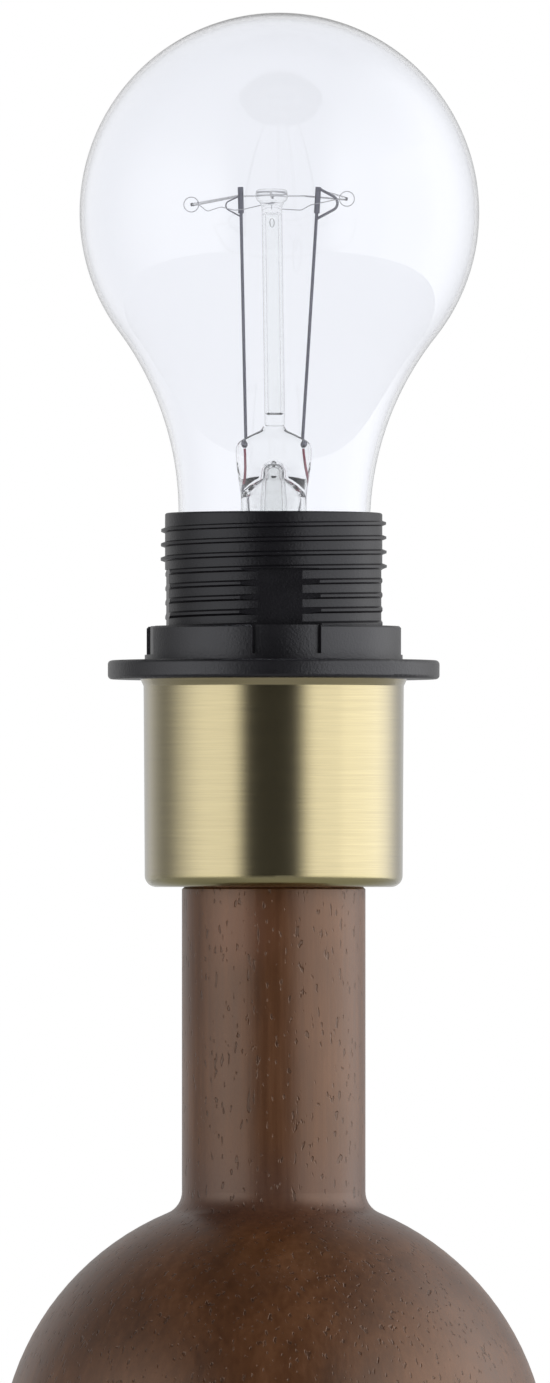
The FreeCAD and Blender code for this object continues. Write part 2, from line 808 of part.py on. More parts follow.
# ---------------------------------------------------------------- bulb
def bulb_profile(offset):
    """Globe and neck line, moved inwards by an offset. Gives the points that the outline needs.

    The neck's curve touches the globe, and ends upright at the neck's radius and height.
    """
    fall = globe_z - bulb_neck_z
    neck = (bulb_neck_radius**2 + fall**2 - bulb_radius**2) / (2 * (bulb_radius - bulb_neck_radius))
    angle = math.atan2(fall, bulb_neck_radius + neck)
    globe = bulb_radius - offset
    centre_r = bulb_neck_radius + neck
    centre_z = bulb_neck_z
    neck_radius_here = neck + offset
    start = (globe * math.cos(angle), globe_z - globe * math.sin(angle))
    mid = angle / 2
    middle = (centre_r - neck_radius_here * math.cos(mid), centre_z + neck_radius_here * math.sin(mid))
    end = (centre_r - neck_radius_here, centre_z)
    crown = math.radians(bulb_crown_angle)
    high = (globe * math.cos(crown), globe_z + globe * math.sin(crown))
    return {"globe": globe, "start": start, "middle": middle, "end": end, "high": high}


def bulb_glass():
    outer = bulb_profile(0.0)
    inner = bulb_profile(bulb_wall)
    seal = bulb_seal_radius
    seal_z = cap_rim_z - bulb_seal_depth
    lip_z = cap_rim_z + bulb_seal_gap
    lip_r = cap_thread_radius
    side = math.sqrt(0.5)
    shoulder = (
        lip_r + (outer["end"][0] - lip_r) * side,
        lip_z + (outer["end"][1] - lip_z) * (1 - side),
    )
    inner_shoulder = (
        seal - bulb_wall + (inner["end"][0] - seal + bulb_wall) * side,
        lip_z + (inner["end"][1] - lip_z) * (1 - side),
    )
    glass = turned(
        (0, globe_z + outer["globe"]),
        outer["high"] + outer["start"],
        outer["middle"] + outer["end"],
        shoulder + (lip_r, lip_z),
        (seal, lip_z),
        (seal, seal_z),
        (seal - bulb_wall, seal_z),
        (seal - bulb_wall, lip_z),
        inner_shoulder + inner["end"],
        inner["middle"] + inner["start"],
        inner["high"] + (0, globe_z + inner["globe"]),
    )
    return glass


def bulb_cap():
    """Lamp cap: a thin threaded shell with a plain collar, open at the top."""
    shoulder_z = tip_z + cap_shoulder_height
    root, wall = cap_root_radius, cap_wall
    straight_z = shoulder_z + cap_shoulder_rise
    collar_z = tip_z + cap_collar_start
    rim = cap_rim_z
    shell = turned(
        (cap_shoulder_radius, shoulder_z),
        (root, straight_z),
        (root, collar_z),
        (cap_thread_radius, collar_z + cap_collar_rise),
        (cap_thread_radius, rim),
        (cap_thread_radius - wall, rim),
        (cap_thread_radius - wall, collar_z + cap_collar_rise),
        (root - wall, collar_z),
        (root - wall, straight_z),
        (cap_shoulder_radius - wall, shoulder_z + cap_edge),
        (cap_shoulder_radius - wall, shoulder_z),
    )
    thread = ridge(
        cap_pitch,
        cap_thread_turns,
        root - wall / 2,
        root,
        cap_thread_radius,
        cap_ridge_half_base,
        cap_ridge_half_crest,
    )
    thread.translate(V(0, 0, tip_z + cap_thread_bottom))
    return shell.fuse(thread)


def cap_insulator():
    top = tip_z + insulator_top
    inner = exhaust_radius + insulator_tongue
    outer = cap_shoulder_radius - cap_wall - insulator_gap
    return turned(
        (tip_radius, tip_z + insulator_foot),
        (outer, top - insulator_edge),
        (outer, top + insulator_tongue),
        (inner, top + insulator_tongue),
        (inner, tip_z + tip_height),
        (tip_radius, tip_z + tip_height),
    )


def bulb_tip():
    """Solder contact, flat in the middle and rounded off."""
    out = tip_radius - tip_gap
    top = tip_z + tip_height - tip_gap
    return turned(
        (0, tip_z),
        (out - tip_edge, tip_z),
        (out - tip_edge_bow, tip_z + tip_edge_bow, out, tip_z + tip_edge),
        (out, top),
        (0, top),
    )


def stem(holes):
    """Flare and tube, hollow, closed above by the flat press that holds the wires."""
    z = tip_z
    wall = stem_wall
    flare = turned(
        (flare_radius, z + flare_height),
        (flare_bend_radius, z + flare_height + flare_bend_height, stem_radius, z + stem_tube_top - flare_curve_end),
        (stem_radius, z + stem_tube_top),
        (stem_radius - wall, z + stem_tube_top),
        (stem_radius - wall, z + stem_tube_top - flare_curve_end),
        (
            flare_bend_radius - wall,
            z + flare_height + flare_bend_height - wall / 2,
            flare_radius - wall,
            z + flare_height - flare_lip,
        ),
    )
    top = z + press_top + press_cone
    round_part = turned(
        (0, z + stem_tube_top),
        (stem_radius, z + stem_tube_top),
        (stem_radius, z + press_waist),
        (press_half_width, z + press_widest),
        (press_shoulder_half_width, z + press_top),
        (rod_radius + press_rod_margin, top),
        (0, top),
    )
    side = [
        (-stem_radius - cut_over, stem_tube_top),
        (-press_waist_half_thickness, press_waist),
        (-press_half_thickness, press_widest),
        (press_shoulder_thinning - press_half_thickness, press_top),
        (-rod_radius, press_top + press_cone),
    ]
    out = press_half_width + cut_over
    points = [V(-out, y, z + h) for y, h in side] + [V(-out, -y, z + h) for y, h in reversed(side)]
    pinched = Part.Face(Part.makePolygon(points + points[:1])).extrude(V(2 * out, 0, 0))
    press = round_part.common(pinched)
    return flare.fuse(press).removeSplitter().cut(holes)


def exhaust_tube():
    top = tip_z + exhaust_top
    bottom = tip_z + exhaust_bottom
    out, inner = exhaust_radius, exhaust_radius - exhaust_wall
    side = math.sqrt(0.5)
    return turned(
        (inner, bottom),
        (out, bottom),
        (out, top - out),
        (out * side, top - out + out * side, 0, top),
        (0, top - exhaust_wall),
        (inner * side, top - out + inner * side, inner, top - out),
    )


def glass_rod():
    """Rod on the press, with the flat button that carries the supports."""
    foot = V(rod_foot_x, 0, tip_z + rod_foot)
    top = V(rod_top_x, 0, tip_z + rod_top)
    along = (top - foot).normalize()
    rod = Part.makeCylinder(rod_radius, foot.distanceToPoint(top), foot, along)
    button = Part.makeCylinder(button_radius, button_height, top, along)
    button = button.makeFillet(button_rounding, [e for e in button.Edges if e.Curve.TypeId == "Part::GeomCircle"])
    return rod.fuse(button).removeSplitter()


def lead_points(foot_x, top_x):
    return [V(foot_x, 0, tip_z + lead_foot), V(top_x, 0, tip_z + lead_top)]


def lead_wire(foot_x, top_x, hook, hook_radius):
    """Nickel wire from its welded knot on the press up to the crimp, with the hooked end beside it."""
    foot, top = lead_points(foot_x, top_x)
    along = (top - foot).normalize()
    rod = Part.makeCylinder(lead_radius, foot.distanceToPoint(top), foot, along)
    knot = Part.makeSphere(lead_knot / 2, foot + along * lead_knot / 2)
    bend = wire([V(x, 0, tip_z + h) for x, h in hook], hook_radius, lead_bend)
    return rod.fuse(knot).fuse(bend)


def crimps(leads):
    """Clamps at the tops of the leads, round the wire's end."""
    pieces = []
    for foot_x, top_x in ((lead_left_foot_x, lead_left_top_x), (lead_right_foot_x, lead_right_top_x)):
        foot, top = lead_points(foot_x, top_x)
        along = (top - foot).normalize()
        start = top - along * crimp_length
        sleeve = Part.makeCylinder(crimp_radius, crimp_length, start, along)
        pieces.append(sleeve.cut(leads))
    return Part.makeCompound(pieces)


def dumet_wires():
    """Copper-clad wires sealed in the press, one under each lead."""
    pieces = []
    for lead_x, low_x in ((lead_left_foot_x, dumet_left_x), (lead_right_foot_x, dumet_right_x)):
        top = V(lead_x, 0, tip_z + lead_foot)
        low = V(low_x, 0, tip_z + dumet_bottom)
        pieces.append(Part.makeCylinder(dumet_radius, low.distanceToPoint(top), low, (top - low).normalize()))
    return Part.makeCompound(pieces)


def lower_leads():
    """Thin wires from the press down the stem, one to the tip and one to the cap's rim."""
    pieces = []
    inside = stem_radius - stem_wall - lower_lead_wall_gap
    for low_x, (end_x, end_height) in ((dumet_left_x, lower_lead_tip_end), (dumet_right_x, lower_lead_rim_end)):
        side = math.copysign(1, low_x)
        points = [
            V(low_x, 0, tip_z + dumet_bottom),
            V(side * inside, 0, tip_z + dumet_bottom - lower_lead_drop),
            V(side * inside, 0, tip_z + flare_height),
            V(end_x, 0, tip_z + end_height),
        ]
        pieces.append(wire(points, lower_lead_radius, lower_lead_bend))
    return Part.makeCompound(pieces)


def support_wires():
    """Molybdenum wires from the rod and button, each with a pigtail loop that holds the filament."""
    left_x, left_y, left_h = pigtail_left
    right_x, right_y, right_h = pigtail_right
    back_x, back_y, back_h = pigtail_back
    gap = rod_radius + support_gap
    corner = pigtail_radius * math.sqrt(0.5)
    left = [(rod_top_x - gap, left_y, support_left_height)]
    left += [(x, left_y, h) for x, h in support_left]
    left += [(left_x + pigtail_radius, left_y, left_h)]
    right = [(rod_top_x + gap, right_y, support_right_height)]
    right += [(x, right_y, h) for x, h in support_right]
    right += [(right_x - corner, right_y, right_h - corner)]
    back = [(back_x, button_radius + support_gap, support_back_height), (back_x, back_y - pigtail_radius, back_h)]
    pieces = []
    for run, middle, normal in (
        (left, pigtail_left, V(0, 1, 0)),
        (right, pigtail_right, V(0, 1, 0)),
        (back, pigtail_back, V(1, 0, 0)),
    ):
        points = [V(x, y, tip_z + h) for x, y, h in run]
        x, y, h = middle
        loop = Part.makeTorus(pigtail_radius, support_radius, V(x, y, tip_z + h), normal)
        pieces.append(wire(points, support_radius, support_bend).fuse(loop))
    return Part.makeCompound(pieces)


def filament():
    """Coiled tungsten filament, as one thin round body from crimp to crimp through the pigtails."""
    clear = crimp_radius + filament_radius + filament_gap
    left_x, left_y, left_h = pigtail_left
    right_x, right_y, right_h = pigtail_right
    back_x, back_y, back_h = pigtail_back
    ahead, behind = filament_ahead, filament_behind
    run = [
        (lead_left_top_x, -clear, filament_left_height),
        (left_x, left_y - ahead, left_h),
        (left_x, left_y + behind, left_h),
        (back_x - filament_back_run, back_y, back_h),
        (back_x + filament_back_run, back_y, back_h),
        (right_x, right_y + behind, right_h),
        (right_x, right_y - ahead, right_h),
        (lead_right_top_x, -clear, filament_right_height),
    ]
    return wire([V(x, y, tip_z + h) for x, y, h in run], filament_radius, filament_bend)


# ---------------------------------------------------------------- build
def main():
    os.makedirs("parts", exist_ok=True)
    screws = plate_screws()
    bushing, bushing_space = bushing_parts()
    save("wood_body", wood_body(screws, bushing_space))
    save("felt_pad", disc(foot_radius - felt_margin, 0, felt_thickness))
    plate = disc(plate_radius, foot_z, foot_z + plate_thickness).cut(screws.Solids)
    save("base_plate", plate)
    save("plate_screws", screws)
    save("cord_bushing", bushing)

    tube_top = holder_floor_z + tube_end_above_boss
    tube_foot = lower_nut_z - tube_end_below_nut
    nut_bore = tube_radius + tube_thread_gap
    washer_bore = tube_radius + washer_hole_gap
    save("threaded_tube", ring(tube_radius - tube_wall, tube_radius, tube_foot, tube_top))
    save("lower_nut", hexagon(nut_across_flats, nut_bore, lower_nut_z, lower_nut_z + nut_height))
    save("lower_washer", ring(washer_bore, washer_radius, well_top_z - washer_thickness, well_top_z))
    save("cup_washer", ring(washer_bore, washer_radius, cup_floor_z, cup_floor_z + washer_thickness))
    save("cup_nut", hexagon(nut_across_flats, nut_bore, cup_floor_z + washer_thickness, holder_boss_z))
    save("brass_cup", brass_cup())

    grub = grub_screw()
    grub_hole = Part.makeCylinder(
        grub_radius, holder_boss_radius, V(tube_radius, 0, holder_boss_z + holder_boss_height / 2), V(1, 0, 0)
    )
    save("holder_cap", holder_cap().cut(grub_hole))
    save("grub_screw", grub)
    save("threaded_skirt", threaded_skirt())
    save("holder_insert", holder_insert())
    save("screw_shell", screw_shell())
    save("contact_plunger", contact_plunger())
    save("contact_spring", contact_spring())
    save("centre_terminal_strip", centre_terminal_strip())
    save("side_contact", side_contact())
    save("contact_rivet", contact_rivet())
    save("terminals", terminals())
    save("terminal_screws", terminal_screws())
    save("shade_flange", shade_flange())
    save("shade_ring_nut", shade_ring_nut())

    leads = [
        lead_wire(lead_left_foot_x, lead_left_top_x, hook_left, hook_left_radius),
        lead_wire(lead_right_foot_x, lead_right_top_x, hook_right, hook_right_radius),
    ]
    dumets = dumet_wires()
    lower = lower_leads()
    rod = glass_rod()
    tube_space = disc(exhaust_radius, tip_z, tip_z + exhaust_top - exhaust_radius).fuse(
        Part.makeSphere(exhaust_radius, V(0, 0, tip_z + exhaust_top - exhaust_radius))
    )
    holes = leads + dumets.Solids + lower.Solids + [rod, tube_space]
    save("bulb_tip", bulb_tip())
    save("bulb_cap", bulb_cap())
    save("cap_insulator", cap_insulator())
    save("bulb_glass", leaning(bulb_glass()))
    save("stem", stem(holes))
    save("exhaust_tube", exhaust_tube())
    save("glass_rod", rod)
    save("lead_wire_left", leads[0].cut(dumets.Solids))
    save("lead_wire_right", leads[1].cut(dumets.Solids))
    save("lead_crimps", crimps(leads))
    save("dumet_wires", dumets)
    save("lower_leads", lower)
    save("support_wires", support_wires())
    save("filament", filament())


main()
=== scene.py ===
# %% [markdown]
# # Bare bulb table lamp
# A dark turned wood bottle carries a brushed brass cup, a black lampholder with a threaded skirt and a
# shade ring, and a large clear bulb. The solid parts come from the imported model, which is the fixed
# frame of this scene. This script gives them their finishes, makes the glass bulb and the fine wires
# anew as smooth surfaces, and sets the light and the camera.

# %% Load the frame
import math
import numpy as np
import bpy
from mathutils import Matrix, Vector


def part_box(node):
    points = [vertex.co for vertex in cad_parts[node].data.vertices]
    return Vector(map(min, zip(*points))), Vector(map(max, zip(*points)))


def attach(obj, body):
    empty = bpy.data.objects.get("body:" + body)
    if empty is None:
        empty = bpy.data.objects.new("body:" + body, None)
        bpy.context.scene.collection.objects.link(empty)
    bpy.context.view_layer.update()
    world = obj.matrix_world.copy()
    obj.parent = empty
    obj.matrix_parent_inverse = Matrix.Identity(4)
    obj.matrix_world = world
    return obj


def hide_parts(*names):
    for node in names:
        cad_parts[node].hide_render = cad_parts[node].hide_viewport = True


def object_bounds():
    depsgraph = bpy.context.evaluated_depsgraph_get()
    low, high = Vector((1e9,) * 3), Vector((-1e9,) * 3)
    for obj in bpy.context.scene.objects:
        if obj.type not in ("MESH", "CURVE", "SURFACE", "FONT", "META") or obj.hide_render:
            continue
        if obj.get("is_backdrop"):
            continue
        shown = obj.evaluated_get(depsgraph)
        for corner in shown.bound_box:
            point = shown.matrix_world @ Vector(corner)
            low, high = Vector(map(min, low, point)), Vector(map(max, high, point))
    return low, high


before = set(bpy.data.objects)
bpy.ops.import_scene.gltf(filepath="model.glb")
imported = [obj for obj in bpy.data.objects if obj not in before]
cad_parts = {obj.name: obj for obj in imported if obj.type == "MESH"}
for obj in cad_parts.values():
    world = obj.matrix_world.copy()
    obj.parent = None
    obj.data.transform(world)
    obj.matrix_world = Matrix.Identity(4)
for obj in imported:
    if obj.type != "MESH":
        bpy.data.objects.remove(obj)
cad_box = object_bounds()
mm = 0.001

# %% [markdown]
# ## Two small helpers for shader nodes
# A material is a tree of nodes. Wiring them by hand is long, so one method adds a node of any type with
# its settings and its sockets, and a small class lets numbers be added and multiplied as in Python.

# %% Shader maths as Python expressions
class Value:
    """A socket whose value changes over a surface. Sums and products of it add Math nodes."""

    def __init__(self, paint, socket):
        self.paint, self.socket = paint, socket

    def math(self, operation, *values):
        return self.paint.node("Math", {"operation": operation}, dict(enumerate(values)))

    def __add__(self, other): return self.math("ADD", self, other)
    def __radd__(self, other): return self.math("ADD", other, self)
    def __sub__(self, other): return self.math("SUBTRACT", self, other)
    def __rsub__(self, other): return self.math("SUBTRACT", other, self)
    def __mul__(self, other): return self.math("MULTIPLY", self, other)
    def __rmul__(self, other): return self.math("MULTIPLY", other, self)

# %% One way to add any node
class Paint:
    """The node tree of a material or of the world."""

    def __init__(self, owner):
        owner.use_nodes = True
        self.owner, self.tree = owner, owner.node_tree
        self.tree.nodes.clear()

    def node(self, kind, settings=None, inputs=None, output=0):
        """Adds a node, makes its settings first, then fills or links its sockets, and gives one output."""
        made = self.tree.nodes.new("ShaderNode" + kind)
        for name, value in (settings or {}).items():
            if name == "stops":
                ramp = made.color_ramp.elements
                ramp.remove(ramp[1])
                for at, colour in value:
                    stop = ramp[0] if at == value[0][0] else ramp.new(at)
                    stop.position, stop.color = at, (*colour, 1)
            else:
                setattr(made, name, value)
        for name, value in (inputs or {}).items():
            socket = made.inputs[name]
            if isinstance(value, Value):
                self.tree.links.new(value.socket, socket)
            elif socket.type == "RGBA":
                socket.default_value = (*value, 1)
            else:
                socket.default_value = value
        return Value(self, made.outputs[output]) if len(made.outputs) else None

    def surface(self, sockets):
        """The shader and the output of a material."""
        self.node("OutputMaterial", {}, {"Surface": self.node("BsdfPrincipled", {}, sockets)})
        return self.owner

# %% Patterns that several finishes share
def stretched(paint, scale, shift=(0, 0, 0)):
    """Places on the piece, times `scale` a metre: a large number makes a fine pattern in that direction."""
    place = paint.node("TexCoord", output="Object")
    return paint.node("Mapping", {}, {"Vector": place, "Scale": scale, "Location": shift})


def noise(paint, scale, detail=2.0, shift=(0, 0, 0)):
    """Soft noise from 0 to 1 whose grains are 1/scale metres in each direction."""
    return paint.node("TexNoise", {}, {"Vector": stretched(paint, scale, shift), "Scale": 1.0, "Detail": detail})


def band(paint, value, low, high, start=0.0, end=1.0):
    """Goes smoothly from `start` to `end` while the value goes from low to high."""
    return paint.node("MapRange", {"interpolation_type": "SMOOTHSTEP"}, {0: value, 1: low, 2: high, 3: start, 4: end})


def blend(paint, share, a, b):
    """Colour a where share is 0, and b where it is 1."""
    return paint.node("Mix", {"data_type": "RGBA"}, {0: share, 6: a, 7: b}, 2)


def bump(paint, height, depth, strength=1.0):
    """Tilts the shading as a relief of that depth, in metres, would."""
    return paint.node("Bump", {}, {"Height": height, "Distance": depth, "Strength": strength})

# %% [markdown]
# ## Turned walnut
# The bottle was turned from one block with its grain upright, stained dark and given a satin lacquer.
# A picture of wood would slide over the ball, so the colour is worked out in space instead: growth rings
# stand round a pith beside the block, fibres and pores run along Z, and the lathe's cut through them draws
# straight lines on the neck and arcs on the ball, as in a real block. The crease where the neck meets the
# ball is painted darker and greyer, a painted shade, and one patch at the top of the neck is paler and
# redder. The lacquer over the stain is warm too, so the reflections carry its colour.

# %% Walnut
def walnut():
    paint = Paint(bpy.data.materials.new("turned_walnut"))
    rings = paint.node(
        "TexWave", {"wave_type": "RINGS", "rings_direction": "Z", "wave_profile": "SIN"},
        {"Vector": stretched(paint, (1, 1, 0.1), (0.075, -0.05, 0)), "Scale": 70.0, "Distortion": 7.0,
         "Detail": 3.0, "Detail Scale": 0.9, "Detail Roughness": 0.6}, 1)
    fibres = noise(paint, (1000, 1000, 60), 3.0)
    clouds = noise(paint, (80, 80, 38), 4.0)
    pores = band(paint, noise(paint, (1250, 1250, 450), 1.0), 0.64, 0.72)
    tone = 0.05 * rings + 0.33 * fibres + 0.62 * clouds
    stain_and_painted_shade = paint.node("ValToRGB", {"stops": (
        (0.34, (0.052, 0.0185, 0.0065)), (0.5, (0.083, 0.0315, 0.0115)), (0.66, (0.124, 0.052, 0.022)))}, {0: tone})
    place = paint.node("TexCoord", output="Object")
    height = paint.node("SeparateXYZ", {}, {0: place}, 2)
    # Painted shade: this band of height is the crease where the neck meets the ball, and the stain is painted darker
    # and greyer there.
    hollow = band(paint, height, 81 * mm, 87 * mm) * band(paint, height, 89 * mm, 100 * mm, 1.0, 0.0)
    patch_centre = (-5.7 * mm, -15 * mm, 134.4 * mm)
    away = paint.node("VectorMath", {"operation": "DISTANCE"}, {0: place, 1: patch_centre}, "Value")
    patch = band(paint, away, 2 * mm, 9 * mm, 1.0, 0.0)
    stain_and_painted_shade = blend(paint, 0.4 * hollow, stain_and_painted_shade, (0.048, 0.026, 0.026))
    stain_and_painted_shade = blend(paint, 0.45 * patch, stain_and_painted_shade, (0.150, 0.062, 0.034))
    return paint.surface({
        "Base Color": blend(paint, 0.55 * pores, stain_and_painted_shade, (0.020, 0.008, 0.004)),
        "Roughness": 0.27 + 0.12 * fibres,
        "Specular IOR Level": 0.70, "Specular Tint": (1.0, 0.76, 0.62),
        "Normal": bump(paint, fibres * 0.3 - pores, 0.00008)})

# %% [markdown]
# ## Brushed brass
# The cup was spun and then brushed while it turned, so its scratches run round the axis. Noise that is
# very fine in Z and long in X and Y gives such lines, and the shader's own anisotropy spreads the light
# across them. A clear lacquer lies over it as a coat, and its rounded lower rim is painted olive, a painted
# reflection.

# %% Brass
def brushed_brass():
    paint = Paint(bpy.data.materials.new("brushed_brass"))
    fine, broad = noise(paint, (90, 90, 7000), 2.0), noise(paint, (20, 20, 1800), 2.0)
    lines = 0.7 * fine + 0.3 * broad
    height = paint.node("SeparateXYZ", {}, {0: paint.node("TexCoord", output="Object")}, 2)
    low_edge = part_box("brass_cup")[0][2]
    # Painted reflection: the bottom 2.6 mm of the cup, its rounded rim, is tinted olive.
    painted_rim_reflection = band(paint, height, low_edge + 0.2 * mm, low_edge + 2.6 * mm, 1.0, 0.0)
    colour = paint.node("ValToRGB", {"stops": (
        (0.3, (0.238, 0.194, 0.084)), (0.7, (0.297, 0.246, 0.112)))}, {0: lines})
    return paint.surface({
        "Base Color": blend(paint, 0.6 * painted_rim_reflection, colour, (0.30, 0.27, 0.06)),
        "Metallic": 1.0,
        "Roughness": 0.18 + 0.10 * lines,
        "Anisotropic": 0.45, "Anisotropic Rotation": 0.25,
        "Coat Weight": 1.0, "Coat IOR": 1.75, "Coat Roughness": 0.22,
        "Normal": bump(paint, lines, 0.00001)})

# %% [markdown]
# ## Black moulded plastic
# The lampholder, its ring and its flange are moulded in black resin. The mould leaves a satin skin with a
# faint orange-peel relief, and handling polishes it unevenly, so both are small noises. The skirt is a
# little duller than the ring and the flange, so the gloss is given for each.

# %% Plastic
def moulded_black(name, gloss):
    paint = Paint(bpy.data.materials.new(name))
    handled = noise(paint, (260, 260, 260), 3.0)
    peel = noise(paint, (2400, 2400, 2400), 2.0)
    return paint.surface({
        "Base Color": blend(paint, handled, (0.0055, 0.0052, 0.0066), (0.0100, 0.0095, 0.0120)),
        "Roughness": 0.29 + 0.10 * handled,
        "Specular IOR Level": gloss, "Specular Tint": (0.94, 0.95, 1.0),
        "Normal": bump(paint, peel, 0.00005)})

# %% [markdown]
# ## Plain metals, felt and small parts
# Parts that mostly hide inside still get a real finish: two colours mottled at the scale of the metal's
# own grain, a roughness that follows it, and a shallow relief. One function serves them all.

# %% Mottled finishes
def mottled(name, dark, light, roughness, metallic=0.0, grain=(900, 900, 900), relief=0.00001):
    paint = Paint(bpy.data.materials.new(name))
    spots = noise(paint, grain, 3.0)
    return paint.surface({
        "Base Color": blend(paint, spots, dark, light), "Metallic": metallic,
        "Roughness": (roughness - 0.06) + 0.12 * spots, "Normal": bump(paint, spots, relief)})

# %% [markdown]
# ## Clear glass
# The bulb is thin soda glass, faintly violet, and its mount is lead glass, faintly grey. Each is modelled
# with its real wall, so the shader needs the glass's index of refraction and a tint. A wall seen along its
# length swallows a little more light than one seen square, but the dark rims here are painted shade: the
# tint is painted much darker at grazing angles, which a Layer Weight node gives from any side.

# %% Glass
def clear_glass(name, tint, painted_rim_colour, painted_rim_start, index):
    paint = Paint(bpy.data.materials.new(name))
    waves = noise(paint, (70, 70, 40), 1.0)
    # Painted shade: towards grazing angles the tint turns to the painted rim colour, which draws the dark rims.
    grazing = paint.node("LayerWeight", {}, {"Blend": 0.5}, "Facing")
    body = blend(paint, waves, tint, tuple(0.99 * c for c in tint))
    return paint.surface({
        "Base Color": blend(paint, band(paint, grazing, painted_rim_start, 1.0), body, painted_rim_colour), "Roughness": 0.0, "IOR": index,
        "Transmission Weight": 1.0})

# %% Give every node of the frame its finish
wire_grain, round_grain = (600, 600, 90), (40, 40, 4000)
finishes = {
    "turned_walnut": (walnut(), ["wood_body"]),
    "brushed_brass": (brushed_brass(), ["brass_cup"]),
    "moulded_black": (
        moulded_black("moulded_black", 0.42),
        ["holder_cap", "shade_flange", "shade_ring_nut", "cord_bushing"]),
    "skirt_black": (moulded_black("skirt_black", 0.28), ["threaded_skirt", "holder_insert"]),
    "felt": (
        mottled("felt", (0.03, 0.03, 0.03), (0.08, 0.08, 0.08), 0.9, 0.0, (2500, 2500, 2500), 0.0002),
        ["felt_pad"]),
    "zinc": (
        mottled("zinc", (0.48, 0.48, 0.47), (0.66, 0.66, 0.64), 0.42, 1.0),
        ["base_plate", "plate_screws", "threaded_tube", "lower_nut", "lower_washer", "cup_washer", "cup_nut",
         "grub_screw", "terminal_screws"]),
    "contact_brass": (
        mottled("contact_brass", (0.66, 0.48, 0.22), (0.82, 0.64, 0.34), 0.3, 1.0),
        ["screw_shell", "contact_plunger", "centre_terminal_strip", "side_contact", "contact_rivet", "terminals"]),
    "spring_steel": (
        mottled("spring_steel", (0.36, 0.36, 0.38), (0.50, 0.50, 0.52), 0.35, 1.0), ["contact_spring"]),
    "cap_metal": (
        mottled("cap_metal", (0.72, 0.72, 0.70), (0.84, 0.84, 0.82), 0.28, 1.0, round_grain), ["bulb_cap"]),
    "solder": (
        mottled("solder", (0.50, 0.50, 0.51), (0.68, 0.68, 0.69), 0.45, 1.0, (1500, 1500, 1500)), ["bulb_tip"]),
    "black_glass": (
        mottled("black_glass", (0.012, 0.012, 0.016), (0.024, 0.024, 0.03), 0.12), ["cap_insulator"]),
    "nickel": (
        mottled("nickel", (0.10, 0.10, 0.12), (0.20, 0.20, 0.23), 0.45, 1.0, wire_grain),
        ["lead_wire_left", "lead_wire_right", "lead_crimps", "lower_leads"]),
    "copper": (mottled("copper", (0.15, 0.025, 0.05), (0.27, 0.06, 0.09), 0.4, 0.6), ["dumet_wires"]),
    "molybdenum": (
        mottled("molybdenum", (0.30, 0.30, 0.32), (0.46, 0.46, 0.48), 0.4, 1.0), ["support_wires"]),
    "tungsten": (mottled("tungsten", (0.10, 0.10, 0.11), (0.18, 0.18, 0.20), 0.5, 1.0), ["filament"]),
    # For each glass: the tint, the painted rim shade colour, the grazing factor where that painted shade begins, and
    # the index of refraction.
    "bulb_glass": (
        clear_glass("bulb_glass", (0.945, 0.955, 0.985), (0.60, 0.60, 0.67), 0.80, 1.40), ["bulb_glass"]),
    "mount_glass": (
        clear_glass("mount_glass", (0.985, 0.99, 0.985), (0.22, 0.23, 0.23), 0.35, 1.50),
        ["stem", "exhaust_tube", "glass_rod"]),
}
for finish, nodes in finishes.values():
    for node in nodes:
        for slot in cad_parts[node].material_slots:
            slot.material = finish
dressed = sum(len(nodes) for finish, nodes in finishes.values())
print("finishes:", len(finishes), "| nodes dressed:", dressed, "of", len(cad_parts))
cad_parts["exhaust_tube"].visible_shadow = False

# %% [markdown]
# ## From rows of points to a closed skin
# Every new piece here is round along something: round an axis, or round a path. So one function takes an
# array of rows, where each row is a closed ring of points, and joins every ring to the next. A single
# point closes each end, so no hole is left at a pole.

# %% Skins
def skin(rows, first, last):
    """Corners and faces of a closed skin. rows is an array (rings, columns, 3). Face (i, j) joins the corners
    (i, j), (i+1, j), (i+1, j+1), (i, j+1), with j counted round and round, and two fans of triangles join the
    first ring to the point `first` and the last ring to `last`."""
    rings, columns = rows.shape[:2]
    i, j = np.meshgrid(np.arange(rings - 1), np.arange(columns), indexing="ij")
    nxt = (j + 1) % columns
    quads = np.stack([i * columns + j, (i + 1) * columns + j, (i + 1) * columns + nxt, i * columns + nxt], -1)
    j = np.arange(columns)
    nxt = (j + 1) % columns
    start, end = rings * columns, rings * columns + 1
    low = (rings - 1) * columns
    fan_a = np.stack([np.full(columns, start), j, nxt], -1)
    fan_b = np.stack([np.full(columns, end), low + nxt, low + j], -1)
    corners = np.concatenate([rows.reshape(-1, 3), [first, last]])
    return corners, quads.reshape(-1, 4).tolist() + fan_a.tolist() + fan_b.tolist()


def piece(name, skins, material, body, nodes):
    """One object from skins given in millimetres. It rides on a body and stands for the nodes."""
    corners, faces = [], []
    count = 0
    for points, joined in skins:
        corners.append(points)
        faces += [[k + count for k in face] for face in joined]
        count += len(points)
    mesh = bpy.data.meshes.new(name)
    mesh.from_pydata((np.concatenate(corners) * mm).tolist(), [], faces)
    mesh.materials.append(material)
    mesh.shade_smooth()
    mesh.set_sharp_from_angle(angle=math.radians(40))
    made = bpy.data.objects.new(name, mesh)
    bpy.context.scene.collection.objects.link(made)
    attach(made, body)
    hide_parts(*nodes)
    print(name, "corners", len(mesh.vertices), "faces", len(mesh.polygons))
    return made

# %% [markdown]
# ## The bulb
# A glass blower draws the neck out of the globe, so the outline is a circle that runs into a hollow curve
# and then into the straight neck. The wall is thickest at the crown, where the gather of glass began, and
# that is what draws the grey crescent at the top of the picture. A lathe does this best: one outline,
# outside down and inside up, turned once round the axis. The glass leans a little in its cap.

